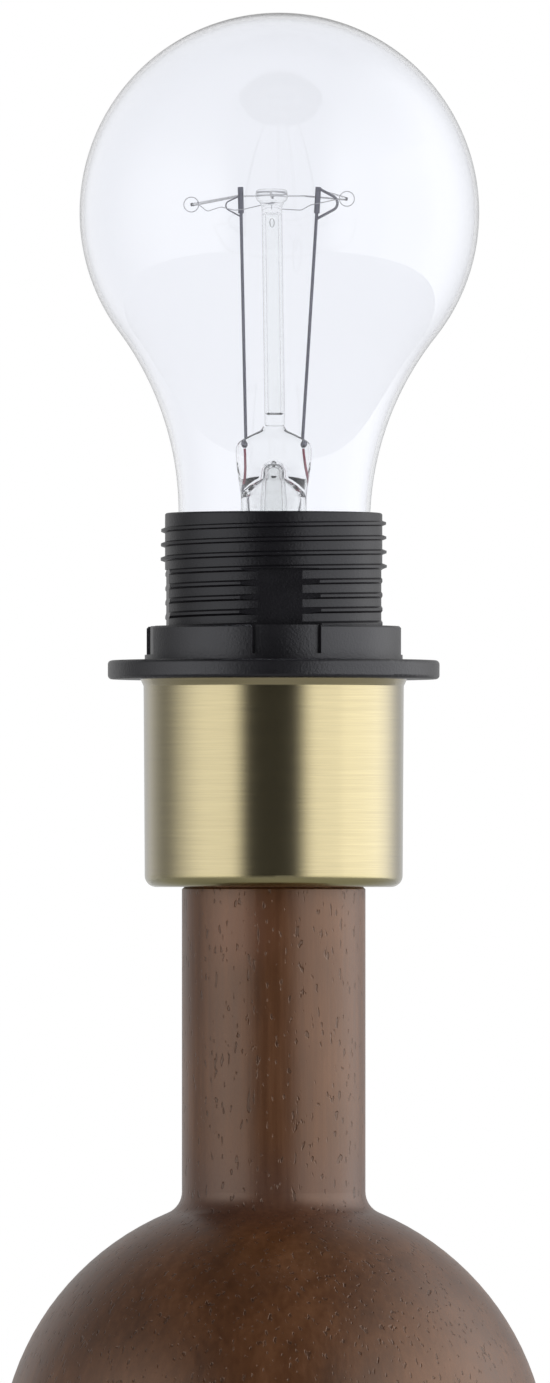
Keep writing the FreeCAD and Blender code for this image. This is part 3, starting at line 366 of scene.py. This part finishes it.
# %% Heights and sizes of the bulb, in millimetres
cap_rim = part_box("bulb_cap")[1][2] / mm
skirt_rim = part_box("threaded_skirt")[1][2] / mm
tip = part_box("bulb_tip")[0][2] / mm
globe_radius, neck_radius, seal_radius = 34.93, 16.75, 12.0
globe_height = tip + 120.25 - globe_radius
neck_height = skirt_rim - 1.03
wall, crown_wall, wall_grows_from = 0.7, 0.85, math.radians(34)
lean = math.radians(0.95)
drop = globe_height - neck_height
throat = (neck_radius**2 + drop**2 - globe_radius**2) / (2 * (globe_radius - neck_radius))
print("globe at", round(globe_height, 2), "neck ends at", round(neck_height, 2), "throat radius", round(throat, 2))

# %% Outline and lathe
def bulb_outline():
    """Radius and height of the outside from the crown down: a circle of the globe's radius, then an arc of
    radius `throat` that touches both the circle and the straight neck, and a rounded end in the cap."""
    joins = math.atan2(drop, neck_radius + throat)
    turn = np.linspace(math.pi / 2, -joins, 150)[1:]
    globe = np.stack([globe_radius * np.cos(turn), globe_height + globe_radius * np.sin(turn)], 1)
    turn = np.linspace(math.pi - joins, math.pi, 60)[1:]
    hollow = np.stack([neck_radius + throat + throat * np.cos(turn), neck_height + throat * np.sin(turn)], 1)
    turn = np.linspace(0, 1, 24)[1:]
    ease = turn * turn * (3 - 2 * turn)
    seal = np.stack([neck_radius + (seal_radius - neck_radius) * ease,
                     neck_height + (cap_rim + 0.6 - neck_height) * turn], 1)
    end = np.array([[seal_radius, cap_rim - 0.5], [seal_radius, cap_rim - 1.1]])
    return np.concatenate([globe, hollow, seal, end])


def inside_of(outline):
    """The outline moved along its own inward normal by the wall, which grows towards the crown."""
    ahead = np.gradient(outline, axis=0)
    ahead /= np.linalg.norm(ahead, axis=1, keepdims=True)
    inward = np.stack([ahead[:, 1], -ahead[:, 0]], 1)
    rise = np.arctan2(outline[:, 1] - globe_height, outline[:, 0])
    grow = np.clip((rise - wall_grows_from) / (math.pi / 2 - wall_grows_from), 0, 1)
    thick = wall + (crown_wall - wall) * grow * grow * (3 - 2 * grow)
    return outline + inward * thick[:, None]


def leaning(points):
    """Turned about the Y axis at the cap's rim, to the right."""
    x, y, z = points[..., 0], points[..., 1], points[..., 2] - cap_rim
    return np.stack([x * math.cos(lean) + z * math.sin(lean), y, cap_rim + z * math.cos(lean) - x * math.sin(lean)], -1)


outside = bulb_outline()
inside = inside_of(outside)
inside[:, 0] = np.maximum(inside[:, 0], 0.05)
outline = np.concatenate([outside, inside[::-1]])
turn = 2 * math.pi * np.arange(192) / 192
rows = np.stack([outline[:, :1] * np.cos(turn), outline[:, :1] * np.sin(turn), np.repeat(outline[:, 1:], turn.size, 1)], -1)
crown = globe_height + globe_radius
poles = leaning(np.array([[0, 0, crown], [0, 0, crown - crown_wall]]))
glass = piece("clear_bulb", [skin(leaning(rows), poles[0], poles[1])],
              finishes["bulb_glass"][0], "bulb", ["bulb_glass"])
glass.visible_shadow = False

# %% [markdown]
# ## Fine wires
# The filament is a coil so fine that it looks like a thread, hung through pigtail loops of molybdenum
# wire. Each wire is a tube along a path. The path is a few straight runs, rounded where they meet, and for
# the filament the tube's own path winds round that line as a spring does.

# %% Paths and tubes
def route(points, step, rounding):
    """Walks the straight runs in equal steps; a moving average over `rounding` then rounds the corners."""
    points = np.array(points, float)
    run = np.concatenate([[0], np.cumsum(np.linalg.norm(np.diff(points, axis=0), axis=1))])
    count = int(run[-1] / step) + 2
    along = np.linspace(0, run[-1], count)
    path = np.stack([np.interp(along, run, points[:, k]) for k in range(points.shape[1])], 1)
    half = max(1, int(rounding / step / 2))
    padded = np.concatenate([2 * path[:1] - path[half:0:-1], path, 2 * path[-1:] - path[-2:-half - 2:-1]])
    sums = np.concatenate([np.zeros((1, points.shape[1])), np.cumsum(padded, axis=0)])
    return (sums[2 * half + 1:] - sums[:-2 * half - 1]) / (2 * half + 1)


def across(path, reference):
    """Two unit vectors across the path at each point: ahead x reference, and that x ahead."""
    ahead = np.gradient(path, axis=0)
    ahead /= np.linalg.norm(ahead, axis=1, keepdims=True)
    side = np.cross(ahead, reference)
    side /= np.linalg.norm(side, axis=1, keepdims=True)
    return side, np.cross(side, ahead)


def tube(path, radius, sides, reference=(0, 1, 0)):
    """Round skin of one radius along the path."""
    side, up = across(path, reference)
    turn = (2 * math.pi * np.arange(sides) / sides)[None, :, None]
    rows = path[:, None, :] + radius * (np.cos(turn) * side[:, None, :] + np.sin(turn) * up[:, None, :])
    return skin(rows, path[0], path[-1])

# %% Support wires with their pigtails
loop_radius, wire_radius = 1.3, 0.08


def pigtail(points, centre, normal_axis, turns=1.2):
    """The route up to the loop, then the loop: a circle round `centre` that starts where the route ends and
    drifts a little along its own axis."""
    lead_in = route(points, 0.12, 0.9)
    turn = np.linspace(0, 2 * math.pi * turns, 60)[1:]
    centre = np.array(centre, float)
    out = lead_in[-1] - centre
    out /= np.linalg.norm(out)
    axis = np.array(normal_axis, float)
    up = np.cross(axis, out)
    circle = centre + loop_radius * (np.cos(turn)[:, None] * out + np.sin(turn)[:, None] * up) + axis * (0.035 * turn)[:, None]
    return np.concatenate([lead_in, circle])


def above_tip(points):
    """Points given by their height above the bulb's tip, as points above the table."""
    return [(x, y, tip + h) for x, y, h in points]


left = pigtail(above_tip([(-2.17, -1.1, 86.6), (-5.1, -1.1, 85.9), (-6.9, -1.1, 85.7), (-9.2, -1.1, 86.3),
                          (-11.6, -1.1, 85.5), (-13.1, -1.1, 86.7)]), (-14.4, -1.1, tip + 86.7), (0, 1, 0))
right = pigtail(above_tip([(1.49, -1.2, 85.9), (4.8, -1.2, 85.7), (6.4, -1.2, 86.6), (11.5, -1.2, 87.7)]),
                (12.8, -1.2, tip + 87.7), (0, 1, 0))
back = pigtail(above_tip([(-0.3, 2.87, 88.5), (-0.3, 6.0, 88.4), (-0.3, 10.2, 88.7)]),
               (-0.3, 11.5, tip + 88.7), (1, 0, 0))
along_y, along_x = (0.02, 1, 0.01), (1, 0.02, 0.01)
pigtails = ((left, along_y), (right, along_y), (back, along_x))
piece("pigtail_wires", [tube(path, wire_radius, 8, reference) for path, reference in pigtails],
      finishes["molybdenum"][0], "bulb", ["support_wires"])

# %% Filament
thread_step = 0.023
line = route(above_tip([(-5.8, -0.76, 88.4), (-14.4, -4.1, 86.7), (-14.4, 3.9, 86.7), (-5.8, 11.5, 88.7),
                        (5.2, 11.5, 88.7), (12.8, 3.8, 87.7), (12.8, -4.2, 87.7), (7.81, -0.76, 89.3)]), thread_step, 1.6)
side, up = across(line, (0, 0, 1))
coil_radius, thread_radius, coil_pitch = 0.12, 0.04, 0.28
wound = (2 * math.pi * np.arange(len(line)) * thread_step / coil_pitch)[:, None]
coil = line + coil_radius * (np.cos(wound) * side + np.sin(wound) * up)
piece("coiled_filament", [tube(coil, thread_radius, 4, (0.01, 0.02, 1))],
      finishes["tungsten"][0], "bulb", ["filament"])

# %% [markdown]
# ## The glass mount
# The stem starts as a flared tube. Its top was heated and pinched flat round the wires, so the section goes
# from a circle to a flat rounded bar, and then up to the foot of the glass rod. Rows of superellipses do
# this: each has a half width, a half thickness and a squareness. The same skin comes back up inside as
# the hollow of the tube, with a narrow dome that leaves a hair of air round the exhaust tube. The rod is
# drawn from thick tube, so it has a fine bore that closes before the button, and a flat bubble lies in its
# front wall.

# %% Stem
def superellipses(sections, columns):
    """One closed ring for each (height, half width, half thickness, squareness n): |x/a|^n + |y/b|^n = 1."""
    height, wide, thick, square = (sections[:, k, None] for k in range(4))
    turn = 2 * math.pi * np.arange(columns) / columns
    c, s = np.cos(turn)[None, :], np.sin(turn)[None, :]
    x = wide * np.sign(c) * np.abs(c) ** (2 / square)
    y = thick * np.sign(s) * np.abs(s) ** (2 / square)
    return np.stack([x, y, tip + height + 0 * x], -1)


outer = route([
    (48.0, 1.9, 1.9, 2), (47.4, 2.2, 1.95, 2), (46.7, 3.7, 2.1, 2.2), (45.9, 5.2, 2.25, 2.5), (45.3, 6.15, 2.35, 2.7),
    (44.4, 6.6, 2.4, 2.8), (43.0, 6.65, 2.4, 2.8), (41.0, 6.5, 2.5, 2.7), (39.0, 6.2, 2.95, 2.5), (37.0, 5.9, 4.0, 2.3),
    (35.3, 5.75, 5.3, 2.05), (34.0, 5.75, 5.75, 2), (32.5, 5.78, 5.78, 2), (30.6, 6.3, 6.3, 2), (28.8, 7.4, 7.4, 2),
    (27.4, 9.2, 9.2, 2), (26.6, 11.0, 11.0, 2)], 0.1, 0.9)
inner = route([
    (26.1, 10.2, 10.2, 2), (26.8, 8.6, 8.6, 2), (28.2, 6.7, 6.7, 2), (30.3, 5.4, 5.4, 2), (32.5, 4.9, 4.9, 2), (34.0, 4.85, 4.8, 2),
    (35.5, 4.8, 4.2, 2), (36.5, 4.5, 3.3, 2), (37.5, 3.9, 2.6, 2), (38.1, 3.1, 2.4, 2), (38.5, 2.5, 2.38, 2), (39.2, 2.38, 2.38, 2)], 0.1, 0.6)
rise = np.linspace(0, math.pi / 2, 24)[1:-1]
dome = np.stack([39.75 + 2.38 * np.sin(rise), 2.38 * np.cos(rise), 2.38 * np.cos(rise), 2 + 0 * rise], 1)
sections = np.concatenate([outer, inner, dome])
stem = piece("flared_stem", [skin(superellipses(sections, 96), (0, 0, tip + 48.0), (0, 0, tip + 42.13))],
             finishes["mount_glass"][0], "bulb", ["stem"])
stem.visible_shadow = False

# %% Rod and button
def round_sections(points):
    """Rounds a list of (height, radius) and makes each a circle for `superellipses`."""
    height, radius = np.split(route(points, 0.08, 0.35), 2, axis=1)
    return np.concatenate([height, radius, radius, 2 + 0 * height], 1)


def tilted(sections, first, last, forward=0.0):
    """Sections on the rod's own line, which leans to the left: x falls by 0.58 over 42.5 of height. `forward`
    moves them off that line, towards the front."""
    rows = superellipses(sections, 48)
    ends = np.array([(0, 0, tip + first), (0, 0, tip + last)], float)
    for points in (rows, ends):
        points[..., 0] += 0.24 - 0.58 * (points[..., 2] - tip - 44.8) / 42.5
        points[..., 1] -= forward
    return skin(rows, ends[0], ends[1])


profile = round_sections([
    (89.45, 0.05), (89.45, 2.2), (89.2, 2.7), (88.7, 2.82), (88.0, 2.82), (87.5, 2.65), (87.1, 2.2), (86.6, 1.9),
    (85.8, 1.78), (48.5, 1.78), (48.1, 1.65), (48.05, 0.05)])
bore = round_sections([(50.0, 0.05), (50.0, 0.9), (50.4, 1.2), (85.0, 1.2), (85.4, 0.9), (85.4, 0.05)])
bubble_height, bubble_tall, bubble_wide, bubble_thick, bubble_forward = 83.5, 0.8, 0.42, 0.22, 1.49
swell = np.linspace(-math.pi / 2, math.pi / 2, 20)[1:-1]
bubble = np.stack([bubble_height + bubble_tall * np.sin(swell), bubble_wide * np.cos(swell),
                   bubble_thick * np.cos(swell), 2 + 0 * swell], 1)
rod_skins = [tilted(profile, 89.45, 48.05), tilted(bore, 50.0, 85.4),
             tilted(bubble, bubble_height - bubble_tall, bubble_height + bubble_tall, bubble_forward)]
rod = piece("rod_and_button", rod_skins, finishes["mount_glass"][0], "bulb", ["glass_rod"])
rod.visible_shadow = False

# %% Seal wires in the press
seal_wire_radius = 0.2
seal_wires = [tube(route(above_tip([(top_x, 0, 44.1), (low_x, 0, 38.9), (low_x + 0.02, 0, 37.8)]), 0.1, 0.4),
                   seal_wire_radius, 10)
              for top_x, low_x in ((-4.84, -4.63), (4.95, 5.40))]
piece("seal_wires", seal_wires, finishes["copper"][0], "bulb", ["dumet_wires"])

# %% [markdown]
# ## Floor, light and camera
# The lamp stands on a round pale floor in a white studio. A wide bright wall stands on the right and a
# narrower one on the left, both written into the world so that they are soft and even, and a small soft
# light in front of the right wall gives the shadow. The dark gap between the walls is what draws the dark
# band down the middle of the brass, the ring and the neck. What the camera sees behind the lamp is white,
# and so is what shows through the glass, while the light that falls on the lamp stays low.

# %% Floor
turn = 2 * math.pi * np.arange(96) / 96
rim = np.stack([np.cos(turn), np.sin(turn), 0 * turn], -1)
floor_radius, floor_depth = 0.62, 0.02
corners, faces = skin(np.stack([rim * 0.3, rim * floor_radius]), (0, 0, 0), (0, 0, -floor_depth))
ground = bpy.data.meshes.new("floor")
ground.from_pydata(corners.tolist(), [], faces)

paper = Paint(bpy.data.materials.new("floor_paper"))
grain = noise(paper, (12, 12, 12), 2.0)
lit = paper.node("BsdfPrincipled", {}, {
    "Base Color": blend(paper, grain, (0.76, 0.76, 0.765), (0.80, 0.80, 0.80)), "Roughness": 0.75})
white = paper.node("Emission", {}, {"Strength": 1.0})
through_glass = paper.node("LightPath", output="Is Transmission Ray")
straight_on = paper.node("LightPath", output="Is Camera Ray")
mixed = paper.node("MixShader", {}, {0: through_glass + 0.6 * straight_on, 1: lit, 2: white})
paper.node("OutputMaterial", {}, {"Surface": mixed})
paper.owner.cycles.emission_sampling = "NONE"
ground.materials.append(paper.owner)
floor = bpy.data.objects.new("floor", ground)
bpy.context.scene.collection.objects.link(floor)
floor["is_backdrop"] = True

# %% World
world = bpy.data.worlds.new("studio")
bpy.context.scene.world = world
sky = Paint(world)
way = sky.node("TexCoord", output="Generated")
x, y, z = (sky.node("SeparateXYZ", {}, {0: way}, k) for k in range(3))
right_wall = band(sky, x, 0.30, 0.62) * band(sky, y, 0.3, 0.9, 1.0, 0.0)
right_wall = right_wall * band(sky, z, 0.3, 0.98, 1.0, 0.25)
left_wall = band(sky, x, -0.62, -0.36, 1.0, 0.0) * band(sky, y, -0.5, 0.5, 1.0, 0.10)
left_wall = left_wall * band(sky, z, 0.15, 0.85, 1.0, 0.12)
behind = band(sky, y, 0.2, 0.95, 0.0, 0.55)
thrown = 0.065 + behind + (2.45 * right_wall + 2.2 * left_wall)
seen = sky.node("LightPath", output="Is Camera Ray") + sky.node("LightPath", output="Is Transmission Ray")
level = sky.node("Mix", {"data_type": "FLOAT"}, {0: seen, 2: thrown, 3: 1.0})
sky.node("OutputWorld", {}, {"Surface": sky.node("Background", {}, {"Color": (1, 1, 1), "Strength": level})})

# %% Soft lights
def softbox(name, azimuth, distance, width, height, bottom, brightness):
    """A standing soft light. azimuth is in degrees from the camera's side towards the right; brightness is
    what a mirror would show of it, so its power is brightness x pi x area."""
    lamp = bpy.data.lights.new(name, "AREA")
    lamp.shape, lamp.size, lamp.size_y = "RECTANGLE", width, height
    lamp.energy = brightness * math.pi * width * height
    made = bpy.data.objects.new(name, lamp)
    turn = math.radians(azimuth)
    made.location = (distance * math.sin(turn), -distance * math.cos(turn), bottom + height / 2)
    made.rotation_euler = Vector((-math.sin(turn), math.cos(turn), 0)).to_track_quat("-Z", "Y").to_euler()
    bpy.context.scene.collection.objects.link(made)
    made.visible_camera = False
    made.visible_transmission = False
    print(name, "power", round(lamp.energy, 1), "W")


softbox("right_softbox", azimuth=84, distance=0.5, width=0.40, height=0.50, bottom=0.01, brightness=0.3)

# %% Camera
lens = bpy.data.cameras.new("camera")
lens.sensor_fit, lens.sensor_height, lens.sensor_width = "VERTICAL", 36.0, 36.0
lens.lens, lens.shift_y = 446.7, 0.1399
lens.clip_start, lens.clip_end = 0.1, 50.0
camera = bpy.data.objects.new("camera", lens)
camera.location = (0.00023, -3.0, 0.1423)
camera.rotation_euler = (math.radians(90), 0, 0)
bpy.context.scene.collection.objects.link(camera)
bpy.context.scene.camera = camera
bpy.context.scene.view_settings.view_transform = "Standard"

# %% Sizes and the end
made_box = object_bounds()
for title, box in (("CAD box", cad_box), ("visual box", made_box)):
    print(title, [round(c, 4) for corner in box for c in corner])
